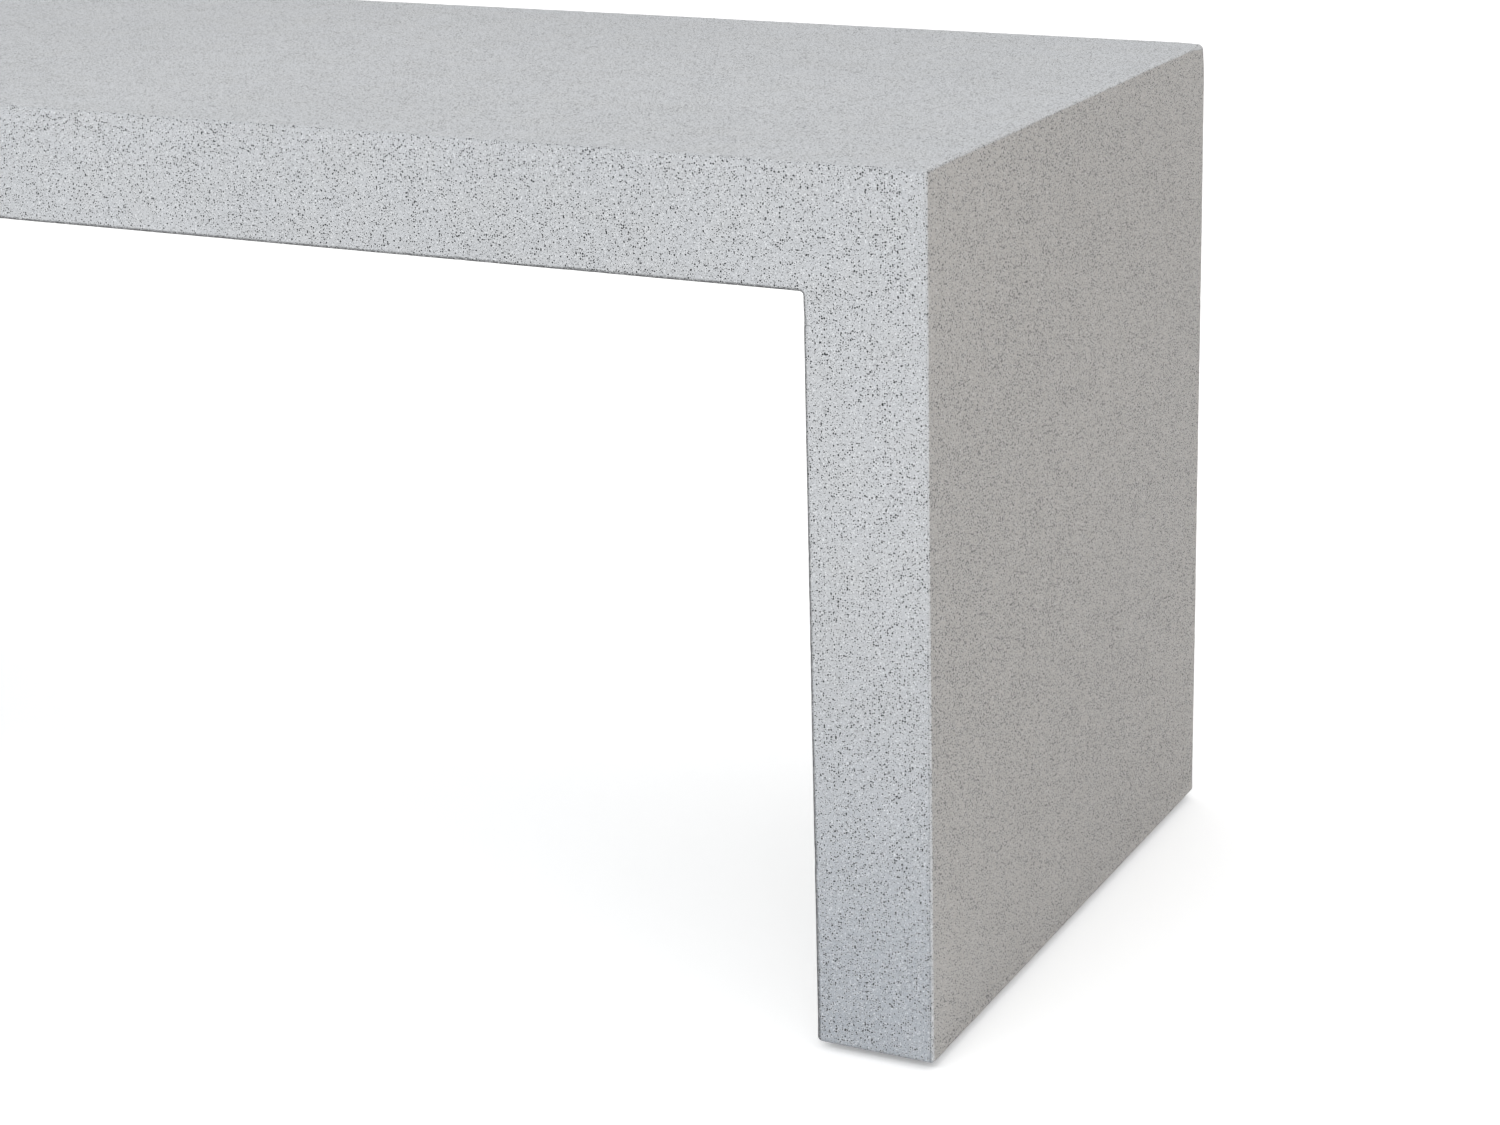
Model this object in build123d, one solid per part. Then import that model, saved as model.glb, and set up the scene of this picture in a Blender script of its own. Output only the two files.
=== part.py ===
"""Waterfall bench: a U of fibre-reinforced concrete skins on a welded steel tube frame.

Millimetres. +X runs along the bench, +Y to its back, +Z up. The origin is on the floor, under the
middle of the bench, with the levelling feet screwed fully in.
"""

import os

from build123d import *

# ---- overall sizes ----
length = 1200.0
depth = 390.0
height = 450.0  # floor to seat, feet screwed fully in
foot_reveal = 4.0  # gap between the floor and the concrete
seat_thickness = 62.0
leg_thickness = 64.0

# ---- concrete ----
skin = 12.0  # cast outer skin: top, ends, front and back cheeks
panel_thickness = 10.0  # closing panels on the inside of the U
outer_corner = 4.0  # radius where the top turns down into the ends
inner_corner = 2.0  # radius where the seat underside meets a leg
bottom_corner = 2.5  # radius at the leg bottoms, across the ends and inside faces
arris = 1.5  # radius all round the front and back faces
joint = 0.4  # filled joint between a closing panel and the cheeks
panel_chamfer = 0.8
base_thickness = 8.0  # plate across the bottom of a leg
weep_hole_radius = 4.0
weep_hole_offset = 60.0  # each side of the leg's middle, along Y

# ---- steel frame ----
pad_thickness = 5.0  # least thickness of the pads between the frame and the concrete
tube_wall = 2.0
tube_corner = 3.0  # outside corner radius of the tube
cheek_gap = 5.0  # between the frame and the front and back cheeks
leg_cross_rise = 40.0  # leg cross tube above the bottom of the posts
corner_plate_thickness = 3.0
corner_plate_edge = 3.0  # tube left bare each side of a corner plate, for the weld
corner_plate_reach = 88.0
cross_tube_gap = 6.0  # between a corner plate and the cross tube beside it

# ---- bonding pads and foam ----
pad_length = 60.0
rail_pad_count = 5  # pads along each rail
rail_pad_inset = 87.0  # outermost rail pads, in from the posts
post_pad_count = 3  # pads up each post
post_pad_inset = 60.0  # highest and lowest post pads, from the ends of the leg's hollow
foam_gap = 0.5

# ---- levelling feet, from the floor up ----
sole_thickness = 3.0
sole_clearance = 0.1
sole_edge = 0.5
foot_radius = 15.0
foot_underside = 1.0
foot_rim = 2.5  # wall round the sole
foot_rim_height = 3.5
foot_floor = 1.5  # between the sole and the button of the stem
button_radius = 6.0  # end of the stem, which turns in the foot
button_height = 3.0
button_clearance = 0.08
neck_radius = 3.5
hub_wall = 2.4
hub_roof = 3.0  # holds the button down in the foot
collar_gap = 0.8  # foot to collar
collar_height = 3.5
collar_land = 1.6  # flats of the hexagon collar, out past the thread
collar_stop_gap = 0.3  # collar to base plate, foot fully in
thread_radius = 4.9
thread_clearance = 0.1  # radial, in the threaded plug
stem_hole_clearance = 0.6  # radial, in the base plate
thread_spare = 2.0  # stem past the top of the plug, foot fully in
thread_lead_in = 1.0
plug_flange = 3.0
plug_length = 20.0
plug_clearance = 0.1

# ---- levels and faces worked out from the sizes above ----
button_bottom = sole_thickness + foot_floor
hub_radius = button_radius + button_clearance + hub_wall
hub_top = button_bottom + button_height + 2 * button_clearance + hub_roof
collar_bottom = hub_top + collar_gap
collar_top = collar_bottom + collar_height
base_bottom = collar_top + collar_stop_gap
base_top = base_bottom + base_thickness

leg_bottom = foot_reveal
seat_underside = height - seat_thickness
leg_inner_face = length / 2 - leg_thickness
cavity_top = height - skin
cavity_end = length / 2 - skin
cavity_side = depth / 2 - skin
panel_top = seat_underside + panel_thickness
panel_back = leg_inner_face + panel_thickness
panel_side = cavity_side - joint

tube = min(cavity_top - panel_top, cavity_end - panel_back) - 2 * pad_thickness
rail_middle_z = (panel_top + cavity_top) / 2
rail_bottom = rail_middle_z - tube / 2
rail_top = rail_middle_z + tube / 2
post_x = (panel_back + cavity_end) / 2
frame_y = cavity_side - cheek_gap - tube / 2
frame_inside = frame_y - tube / 2
post_bottom = base_top + plug_flange
leg_cross_z = post_bottom + leg_cross_rise + tube / 2
corner_plate_end = post_x + tube / 2 - corner_plate_edge - corner_plate_reach
seat_cross_x = corner_plate_end - cross_tube_gap - tube / 2
foam_side = frame_inside - corner_plate_thickness - foam_gap

ends = {"left": -1, "right": 1}
sides = {"front": -1, "rear": 1}
corners = {f"{side}_{end}": (ends[end], sides[side]) for side in sides for end in ends}


def block(x_from, x_to, y_from, y_to, z_from, z_to):
    """A rectangular block between three pairs of faces."""
    size = (abs(x_to - x_from), abs(y_to - y_from), abs(z_to - z_from))
    middle = ((x_from + x_to) / 2, (y_from + y_to) / 2, (z_from + z_to) / 2)
    return Pos(*middle) * Box(*size)


def square_tube(start, end):
    """Square tube with rounded corners between two points on its centreline."""
    path = Vector(*end) - Vector(*start)
    outline = RectangleRounded(tube, tube, tube_corner)
    hole = tube - 2 * tube_wall
    outline -= RectangleRounded(hole, hole, tube_corner - tube_wall)
    upright = abs(path.Z) > abs(path.X) + abs(path.Y)
    plane = Plane(origin=start, z_dir=path, x_dir=(1, 0, 0) if upright else (0, 0, 1))
    return extrude(plane * outline, path.length)


def shell():
    """The visible casting: a U-shaped tray, open on the inside of the U and at the leg bottoms."""
    outside = [
        (-length / 2, leg_bottom),
        (-length / 2, height),
        (length / 2, height),
        (length / 2, leg_bottom),
    ]
    inside = [
        (leg_inner_face, leg_bottom),
        (leg_inner_face, seat_underside),
        (-leg_inner_face, seat_underside),
        (-leg_inner_face, leg_bottom),
    ]
    outline = make_face(Polyline(*outside, *inside, close=True))
    for at_height, radius in (
        (height, outer_corner),
        (seat_underside, inner_corner),
        (leg_bottom, bottom_corner),
    ):
        corners_there = [v for v in outline.vertices() if abs(v.Y - at_height) < 1e-6]
        outline = fillet(corners_there, radius)
    front = Plane(origin=(0, depth / 2, 0), z_dir=(0, -1, 0), x_dir=(1, 0, 0))
    solid = extrude(front * outline, depth)
    face_edges = solid.faces().sort_by(Axis.Y)[0].edges() + solid.faces().sort_by(Axis.Y)[-1].edges()
    solid = fillet(face_edges, arris)
    cavity = block(-cavity_end, cavity_end, -cavity_side, cavity_side, -skin, cavity_top)
    return solid - cavity


def seat_soffit_panel():
    """Closes the seat from below. Its ends lie over the tops of the leg panels."""
    panel = block(-panel_back, panel_back, -panel_side, panel_side, seat_underside, panel_top)
    long_edges = panel.edges().filter_by(Axis.X).group_by(Axis.Z)[0]
    return chamfer(long_edges, panel_chamfer)


def leg_panel(way):
    """Closes a leg on its inside face, from its bottom up to the seat panel."""
    panel = block(
        way * leg_inner_face, way * panel_back, -panel_side, panel_side, leg_bottom, seat_underside
    )
    face = panel.faces().sort_by(Axis.X)[0 if way > 0 else -1]
    return chamfer(face.edges().filter_by(Axis.Z), panel_chamfer)


def leg_base(way):
    """Plate that closes a leg from below, with holes for two foot stems and two weep holes."""
    plate = block(
        way * (panel_back + joint),
        way * (cavity_end - joint),
        -panel_side,
        panel_side,
        base_bottom,
        base_top,
    )
    middle_z = (base_bottom + base_top) / 2
    for side in sides.values():
        stem_hole = Cylinder(thread_radius + stem_hole_clearance, base_thickness * 2)
        weep_hole = Cylinder(weep_hole_radius, base_thickness * 2)
        plate -= Pos(way * post_x, side * frame_y, middle_z) * stem_hole
        plate -= Pos(way * post_x, side * weep_hole_offset, middle_z) * weep_hole
    return plate


def seat_rail(side):
    """Long tube under the top skin, past both rows of posts."""
    end_x = post_x + tube / 2
    y = side * frame_y
    return square_tube((-end_x, y, rail_middle_z), (end_x, y, rail_middle_z))


def leg_post(way, side):
    """Upright tube from the threaded plug to the underside of the rail."""
    x, y = way * post_x, side * frame_y
    return square_tube((x, y, post_bottom), (x, y, rail_bottom))


def cross_tube(x, z):
    """Tube between the front and back halves of the frame."""
    return square_tube((x, -frame_inside, z), (x, frame_inside, z))


def corner_plate(way, side):
    """L-shaped plate welded across the corner of a rail and a post, on the inside of the frame."""
    outer_x = post_x + tube / 2 - corner_plate_edge
    inner_x = post_x - tube / 2 + corner_plate_edge
    high, low = rail_top - corner_plate_edge, rail_bottom + corner_plate_edge
    points = [
        (way * outer_x, high),
        (way * outer_x, high - corner_plate_reach),
        (way * inner_x, high - corner_plate_reach),
        (way * inner_x, low),
        (way * corner_plate_end, low),
        (way * corner_plate_end, high),
    ]
    start_y = frame_inside if side > 0 else -frame_inside + corner_plate_thickness
    plane = Plane(origin=(0, start_y, 0), z_dir=(0, -1, 0), x_dir=(1, 0, 0))
    return extrude(plane * make_face(Polyline(*points, close=True)), corner_plate_thickness)


def spread(count, first, last):
    """Evenly spaced positions from the first to the last."""
    return [first + (last - first) * i / (count - 1) for i in range(count)]


def rail_pads(z_from, z_to):
    """Pads along both rails, between the frame and the skin above or the panel below."""
    last = post_x - rail_pad_inset
    return [
        block(
            x - pad_length / 2,
            x + pad_length / 2,
            side * frame_y - tube / 2,
            side * frame_y + tube / 2,
            z_from,
            z_to,
        )
        for side in sides.values()
        for x in spread(rail_pad_count, -last, last)
    ]


def post_pads(x_from, x_to):
    """Pads up every post, between the frame and the end skin or the leg panel."""
    lowest, highest = base_top + post_pad_inset, seat_underside - post_pad_inset
    return [
        block(
            way * x_from,
            way * x_to,
            side * frame_y - tube / 2,
            side * frame_y + tube / 2,
            z - pad_length / 2,
            z + pad_length / 2,
        )
        for way, side in corners.values()
        for z in spread(post_pad_count, lowest, highest)
    ]


def seat_foam(way):
    """Foam block in the seat, between two cross tubes."""
    near = tube / 2 + foam_gap
    far = seat_cross_x - tube / 2 - foam_gap
    return block(way * near, way * far, -foam_side, foam_side, panel_top, cavity_top)


def corner_foam(way):
    """Foam block in the corner of the U, outside the last cross tube."""
    near = seat_cross_x + tube / 2 + foam_gap
    far = cavity_end - foam_gap
    return block(way * near, way * far, -foam_side, foam_side, panel_top, cavity_top)


def leg_foam(way):
    """Foam block in a leg, from its cross tube up to the corner block."""
    low = leg_cross_z + tube / 2 + foam_gap
    return block(
        way * panel_back, way * (cavity_end - foam_gap), -foam_side, foam_side, low, panel_top
    )


def post_plug(way, side):
    """Threaded plug pressed up into the foot of a post, with a flange on the base plate."""
    hole = tube - 2 * tube_wall - 2 * plug_clearance
    flange = extrude(RectangleRounded(tube, tube, tube_corner), plug_flange)
    inside = RectangleRounded(hole, hole, tube_corner - tube_wall)
    body = Pos(0, 0, plug_flange) * extrude(inside, plug_length)
    bore = Cylinder(thread_radius + thread_clearance, 4 * plug_length)
    return Pos(way * post_x, side * frame_y, base_top) * (flange + body - bore)


def foot_stem(way, side):
    """Threaded stem with a hexagon collar and a button that turns in the foot."""
    low = button_bottom + button_clearance
    button = Pos(0, 0, low + button_height / 2) * Cylinder(button_radius, button_height)
    neck_length = collar_bottom - low
    neck = Pos(0, 0, low + neck_length / 2) * Cylinder(neck_radius, neck_length)
    hexagon = RegularPolygon(thread_radius + collar_land, 6, major_radius=False)
    collar = Pos(0, 0, collar_bottom) * extrude(hexagon, collar_height)
    thread_length = base_top + plug_flange + plug_length + thread_spare - collar_top
    thread = Pos(0, 0, collar_top + thread_length / 2) * Cylinder(thread_radius, thread_length)
    thread = chamfer(thread.edges().group_by(Axis.Z)[-1], thread_lead_in)
    return Pos(way * post_x, side * frame_y, 0) * (button + neck + collar + thread)


def foot_pad(way, side):
    """Round foot with a hub that holds the stem's button, and a recess below for the sole."""
    outside = [
        (0, foot_underside),
        (foot_radius, foot_underside),
        (foot_radius, foot_underside + foot_rim_height),
        (hub_radius, button_bottom + button_height),
        (hub_radius, hub_top),
        (0, hub_top),
    ]
    body = revolve(Plane.XZ * make_face(Polyline(*outside, close=True)), Axis.Z)
    sole_recess = Cylinder(foot_radius - foot_rim, 2 * sole_thickness)
    pocket_height = button_height + 2 * button_clearance
    pocket = Cylinder(button_radius + button_clearance, pocket_height)
    neck_hole = Pos(0, 0, hub_top) * Cylinder(neck_radius + button_clearance, 2 * hub_roof)
    pocket = Pos(0, 0, button_bottom + pocket_height / 2) * pocket
    return Pos(way * post_x, side * frame_y, 0) * (body - sole_recess - pocket - neck_hole)


def foot_sole(way, side):
    """Rubber disc in the underside of the foot, which stands on the floor."""
    radius = foot_radius - foot_rim - sole_clearance
    disc = Pos(0, 0, sole_thickness / 2) * Cylinder(radius, sole_thickness)
    disc = fillet(disc.edges().group_by(Axis.Z)[0], sole_edge)
    return Pos(way * post_x, side * frame_y, 0) * disc


def bench():
    """Every sub-part by name, in place."""
    parts = {"shell": shell(), "seat_soffit_panel": seat_soffit_panel()}
    for end, way in ends.items():
        parts[f"leg_panel_{end}"] = leg_panel(way)
        parts[f"leg_base_{end}"] = leg_base(way)
        parts[f"seat_cross_tube_{end}"] = cross_tube(way * seat_cross_x, rail_middle_z)
        parts[f"leg_cross_tube_{end}"] = cross_tube(way * post_x, leg_cross_z)
        parts[f"seat_foam_{end}"] = seat_foam(way)
        parts[f"corner_foam_{end}"] = corner_foam(way)
        parts[f"leg_foam_{end}"] = leg_foam(way)
    parts["seat_cross_tube_middle"] = cross_tube(0, rail_middle_z)
    for side_name, side in sides.items():
        parts[f"seat_rail_{side_name}"] = seat_rail(side)
    parts["corner_plates"] = Compound([corner_plate(*where) for where in corners.values()])
    parts["seat_bonding_pads"] = Compound(rail_pads(rail_top, cavity_top))
    parts["soffit_bonding_pads"] = Compound(rail_pads(panel_top, rail_bottom))
    parts["end_bonding_pads"] = Compound(post_pads(post_x + tube / 2, cavity_end))
    parts["leg_panel_bonding_pads"] = Compound(post_pads(panel_back, post_x - tube / 2))
    for corner, where in corners.items():
        parts[f"leg_post_{corner}"] = leg_post(*where)
        parts[f"post_plug_{corner}"] = post_plug(*where)
        parts[f"foot_stem_{corner}"] = foot_stem(*where)
        parts[f"foot_pad_{corner}"] = foot_pad(*where)
        parts[f"foot_sole_{corner}"] = foot_sole(*where)
    return parts


os.makedirs("parts", exist_ok=True)
for name, part in bench().items():
    export_step(part, f"parts/{name}.step")
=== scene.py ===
import math

import bpy
import numpy as np
from mathutils import Matrix, Vector


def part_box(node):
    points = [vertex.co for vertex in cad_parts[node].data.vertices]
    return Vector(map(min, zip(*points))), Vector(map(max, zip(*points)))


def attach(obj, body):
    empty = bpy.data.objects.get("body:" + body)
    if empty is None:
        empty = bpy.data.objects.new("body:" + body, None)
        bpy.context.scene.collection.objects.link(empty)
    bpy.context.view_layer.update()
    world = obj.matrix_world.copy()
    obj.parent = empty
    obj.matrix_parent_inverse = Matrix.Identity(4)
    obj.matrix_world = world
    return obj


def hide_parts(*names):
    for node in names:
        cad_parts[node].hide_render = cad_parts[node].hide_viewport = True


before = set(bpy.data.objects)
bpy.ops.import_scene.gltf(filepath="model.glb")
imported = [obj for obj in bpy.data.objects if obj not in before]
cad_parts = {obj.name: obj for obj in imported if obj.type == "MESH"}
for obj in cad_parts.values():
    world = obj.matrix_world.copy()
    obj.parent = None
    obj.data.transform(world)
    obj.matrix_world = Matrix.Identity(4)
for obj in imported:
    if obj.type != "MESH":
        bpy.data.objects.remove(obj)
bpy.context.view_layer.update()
scene = bpy.context.scene
print("frame loaded:", len(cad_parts), "nodes")

ends = ("left", "right")
corners = tuple(f"{side}_{end}" for side in ("front", "rear") for end in ends)


viewpoint = {
    "location": (1.1735, -1.5129, 0.7324),
    "turn": 26.83,  # degrees from straight ahead, towards the left
    "tilt": -16.24,
    "roll": -1.36,
    "lens": 77.3,
    "sensorWidth": 36.0,
    "shiftUp": -0.0667,
    "nearest": 0.02,
    "furthest": 60.0,
}


# the camera starts upright and facing the back, then turns, tilts and rolls
def makeCamera():
    v = viewpoint
    data = bpy.data.cameras.new("viewCamera")
    data.lens = v["lens"]
    data.sensor_width = v["sensorWidth"]
    data.shift_y = v["shiftUp"]
    data.clip_start, data.clip_end = v["nearest"], v["furthest"]
    camera = bpy.data.objects.new("viewCamera", data)
    scene.collection.objects.link(camera)
    aim = Matrix.Rotation(math.radians(v["turn"]), 4, "Z")
    aim = aim @ Matrix.Rotation(math.radians(90 + v["tilt"]), 4, "X")
    aim = aim @ Matrix.Rotation(math.radians(v["roll"]), 4, "Z")
    camera.matrix_world = Matrix.Translation(v["location"]) @ aim
    scene.camera = camera


# one value, colour or vector on its way through the nodes; arithmetic on it adds Math nodes
class Flow:
    def __init__(self, paint, socket):
        self.paint = paint
        self.socket = socket

    def reckon(self, operation, *values):
        return self.paint.add("ShaderNodeMath", {"operation": operation}, dict(enumerate(values)))

    def __add__(self, other):
        return self.reckon("ADD", self, other)

    def __radd__(self, other):
        return self.reckon("ADD", other, self)

    def __sub__(self, other):
        return self.reckon("SUBTRACT", self, other)

    def __rsub__(self, other):
        return self.reckon("SUBTRACT", other, self)

    def __mul__(self, other):
        return self.reckon("MULTIPLY", self, other)

    def __rmul__(self, other):
        return self.reckon("MULTIPLY", other, self)

    def __truediv__(self, other):
        return self.reckon("DIVIDE", self, other)

    def __rtruediv__(self, other):
        return self.reckon("DIVIDE", other, self)

    def __abs__(self):
        return self.reckon("ABSOLUTE", self)


# a material under construction, and the one way nodes are put into it
class Paint:
    def __init__(self, name):
        self.material = bpy.data.materials.new(name)
        self.material.use_nodes = True
        self.tree = self.material.node_tree
        self.tree.nodes.clear()

    def add(self, kind, settings=None, inputs=None, output=0):
        node = self.tree.nodes.new(kind)
        for key, value in (settings or {}).items():
            setattr(node, key, value)
        for key, value in (inputs or {}).items():
            if isinstance(value, Flow):
                self.tree.links.new(value.socket, node.inputs[key])
            else:
                node.inputs[key].default_value = value
        return Flow(self, node.outputs[output]) if node.outputs else None

    def place(self, output="Object"):
        return self.add("ShaderNodeTexCoord", output=output)

    def noise(self, where, scale, detail=2.0, roughness=0.5, output="Fac"):
        inputs = {"Vector": where, "Scale": scale, "Detail": detail, "Roughness": roughness}
        return self.add("ShaderNodeTexNoise", {}, inputs, output)

    # a smooth step from one value to another between two bounds
    def ramp(self, value, low, high, toLow=0.0, toHigh=1.0):
        bounds = {"From Min": low, "From Max": high, "To Min": toLow, "To Max": toHigh}
        smooth = {"interpolation_type": "SMOOTHSTEP"}
        return self.add("ShaderNodeMapRange", smooth, {"Value": value, **bounds})

    # a value kept between 0 and 1
    def clamp(self, value):
        return self.add("ShaderNodeClamp", {}, {"Value": value})

    def larger(self, first, second):
        return self.add("ShaderNodeMath", {"operation": "MAXIMUM"}, {0: first, 1: second})

    def mix(self, share, first, second):
        first, second = [v if isinstance(v, Flow) else (*v, 1.0) for v in (first, second)]
        inputs = {0: share, 6: first, 7: second}
        return self.add("ShaderNodeMix", {"data_type": "RGBA"}, inputs, 2)

    # a place pushed aside by coloured noise
    def stray(self, where, reach, *noise):
        aside = {0: self.noise(where, *noise, "Color"), 3: reach}
        aside = self.add("ShaderNodeVectorMath", {"operation": "SCALE"}, aside)
        return self.add("ShaderNodeVectorMath", {"operation": "ADD"}, {0: where, 1: aside})

    # one axis of a vector
    def axis(self, vector, letter):
        return self.add("ShaderNodeSeparateXYZ", {}, {0: vector}, letter)

    # a random number for each cell of a pattern, from one channel of its colour
    def chance(self, inputs, channel, settings=None):
        colour = self.add("ShaderNodeTexVoronoi", settings, inputs, "Color")
        return self.add("ShaderNodeSeparateColor", {}, {0: colour}, channel)

    def bump(self, height, strength, distance):
        inputs = {"Height": height, "Strength": strength, "Distance": distance}
        return self.add("ShaderNodeBump", {}, inputs)

    def finish(self, **inputs):
        named = {key.replace("_", " "): value for key, value in inputs.items()}
        if isinstance(named["Base Color"], tuple):
            named["Base Color"] = (*named["Base Color"], 1.0)
        surface = self.add("ShaderNodeBsdfPrincipled", {}, named)
        self.add("ShaderNodeOutputMaterial", {}, {"Surface": surface})
        return self.material


floorLook = {
    "size": 24.0,
    "colour": (0.94, 0.94, 0.94),
    "glow": 0.25,
    "roughness": 0.9,
    "specular": 0.1,
}


# one square face at height 0, with a faint glow of its own
def makeFloor():
    half = floorLook["size"] / 2
    points = [(-half, -half, 0), (half, -half, 0), (half, half, 0), (-half, half, 0)]
    mesh = bpy.data.meshes.new("studioFloor")
    mesh.from_pydata(points, [], [(0, 1, 2, 3)])
    floor = bpy.data.objects.new("studioFloor", mesh)
    scene.collection.objects.link(floor)
    paint = Paint("paleFloor")
    mesh.materials.append(
        paint.finish(
            Base_Color=floorLook["colour"],
            Roughness=floorLook["roughness"],
            Specular_IOR_Level=floorLook["specular"],
            Emission_Color=(1.0, 1.0, 1.0, 1.0),
            Emission_Strength=floorLook["glow"],
        )
    )


# each light: where it stands, where it points, its width and height across, and its power
lights = {
    "ceilingSoftbox": {
        "at": (-1.0, 0.8, 5.0),
        "to": (-1.0, 0.8, 0.0),
        "size": (20.0, 20.0),
        "watts": 1290.0,
        "colour": (1.0, 1.0, 1.0),
    },
    "frontSoftbox": {
        "at": (0.15, -1.5, 1.35),
        "to": (0.15, 0.0, 0.25),
        "size": (2.6, 0.5),
        "watts": 11.4,
        "colour": (0.93, 0.97, 1.0),
    },
    "endFill": {
        "at": (2.6, 0.3, 1.0),
        "to": (0.6, 0.0, 0.25),
        "size": (1.6, 1.2),
        "watts": 2.0,
        "colour": (1.0, 0.93, 0.85),
    },
}
skyLook = {"colour": (1.0, 1.0, 1.0), "strength": 0.12}


def makeLights():
    for name, light in lights.items():
        data = bpy.data.lights.new(name, "AREA")
        data.shape = "RECTANGLE"
        data.size, data.size_y = light["size"]
        data.energy = light["watts"]
        data.color = light["colour"]
        lamp = bpy.data.objects.new(name, data)
        start, target = Vector(light["at"]), Vector(light["to"])
        aim = (target - start).to_track_quat("-Z", "Y").to_matrix().to_4x4()
        lamp.matrix_world = Matrix.Translation(start) @ aim
        scene.collection.objects.link(lamp)
    world = bpy.data.worlds.new("studioWorld")
    scene.world = world
    world.use_nodes = True
    background = world.node_tree.nodes["Background"]
    background.inputs["Color"].default_value = (*skyLook["colour"], 1.0)
    background.inputs["Strength"].default_value = skyLook["strength"]


makeCamera()
makeFloor()
makeLights()
scene.view_settings.view_transform = "Standard"
scene.view_settings.look = "None"
print("camera, floor and light set")

meshRules = {
    "sameWithin": 8,  # decimals of a metre to which two points are one
    "leastArea": 1e-14,  # twice the area of the smallest triangle that is kept
    "creaseAbove": 38.0,  # degrees between faces
}


# A mesh object from points and four-cornered faces. Points that coincide become one, and faces
# whose corners coincide become triangles or go. The faces are turned round if the volume, a sixth
# of the sum of a . (b x c), is negative. Marks are named values, one for each point, that a
# material can read.
def buildPiece(name, points, quads, material, body, replaces, marks=None):
    triangles = np.concatenate([quads[:, [0, 1, 2]], quads[:, [0, 2, 3]]])
    rounded = np.round(points, meshRules["sameWithin"])
    _, first, same = np.unique(rounded, axis=0, return_index=True, return_inverse=True)
    triangles = same.reshape(-1)[triangles]
    points = points[first]
    a, b, c = triangles.T
    triangles = triangles[(a != b) & (b != c) & (c != a)]
    a, b, c = (points[triangles[:, k]] for k in range(3))
    twiceArea = np.linalg.norm(np.cross(b - a, c - a), axis=1)
    volume = np.einsum("ij,ij->i", a, np.cross(b, c)).sum()
    triangles = triangles[twiceArea > meshRules["leastArea"]]
    if volume < 0:
        triangles = triangles[:, ::-1]
    mesh = bpy.data.meshes.new(name)
    mesh.vertices.add(len(points))
    mesh.vertices.foreach_set("co", points.astype(np.float32).ravel())
    mesh.loops.add(triangles.size)
    mesh.loops.foreach_set("vertex_index", triangles.astype(np.int32).ravel())
    mesh.polygons.add(len(triangles))
    mesh.polygons.foreach_set("loop_start", np.arange(0, triangles.size, 3, dtype=np.int32))
    mesh.update(calc_edges=True)
    mesh.validate()
    for mark, values in (marks or {}).items():
        layer = mesh.attributes.new(mark, "FLOAT", "POINT")
        layer.data.foreach_set("value", values[first].astype(np.float32))
    mesh.shade_smooth()
    mesh.set_sharp_from_angle(angle=math.radians(meshRules["creaseAbove"]))
    mesh.materials.append(material)
    piece = bpy.data.objects.new(name, mesh)
    scene.collection.objects.link(piece)
    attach(piece, body)
    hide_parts(*replaces)
    return piece


# quads between neighbouring rows and columns of a grid of point numbers
def gridQuads(numbers, closeRows=False, closeColumns=False):
    if closeRows:
        numbers = np.vstack([numbers, numbers[:1]])
    if closeColumns:
        numbers = np.hstack([numbers, numbers[:, :1]])
    square = (numbers[:-1, :-1], numbers[1:, :-1], numbers[1:, 1:], numbers[:-1, 1:])
    return np.stack([corner.ravel() for corner in square], axis=1)


# a smooth random height for each point: a sum of sine waves in random directions, four for each
# length
def rollingHeight(points, waves, seed):
    dice = np.random.default_rng(seed)
    total = np.zeros(points.shape[:-1])
    for length, size in waves:
        for _ in range(4):
            direction = dice.normal(size=3)
            direction *= 2 * np.pi / (length * np.linalg.norm(direction))
            total += size * 0.5 * np.sin(points @ direction + dice.uniform(0, 2 * np.pi))
    return total


# a smooth random line along a run: sine waves of given lengths, plus bell-shaped nicks
def wornLine(distance, waves, nicks, seed):
    dice = np.random.default_rng(seed)
    line = np.zeros_like(distance)
    for length, size in waves:
        line += size * np.sin(2 * np.pi * distance / length + dice.uniform(0, 2 * np.pi))
    for _ in range(nicks["count"]):
        middle = dice.uniform(distance.min(), distance.max())
        width = dice.uniform(*nicks["width"])
        line += dice.uniform(*nicks["depth"]) * bell(distance - middle, width)
    return line


# e to the minus square of the distance over the reach
def bell(distance, reach):
    return np.exp(-((distance / reach) ** 2))


shellLow, shellHigh = (np.array(v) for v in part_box("shell"))
legPanelLow = np.array(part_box("leg_panel_right")[0])
seatPanelLow = np.array(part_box("seat_soffit_panel")[0])

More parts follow.
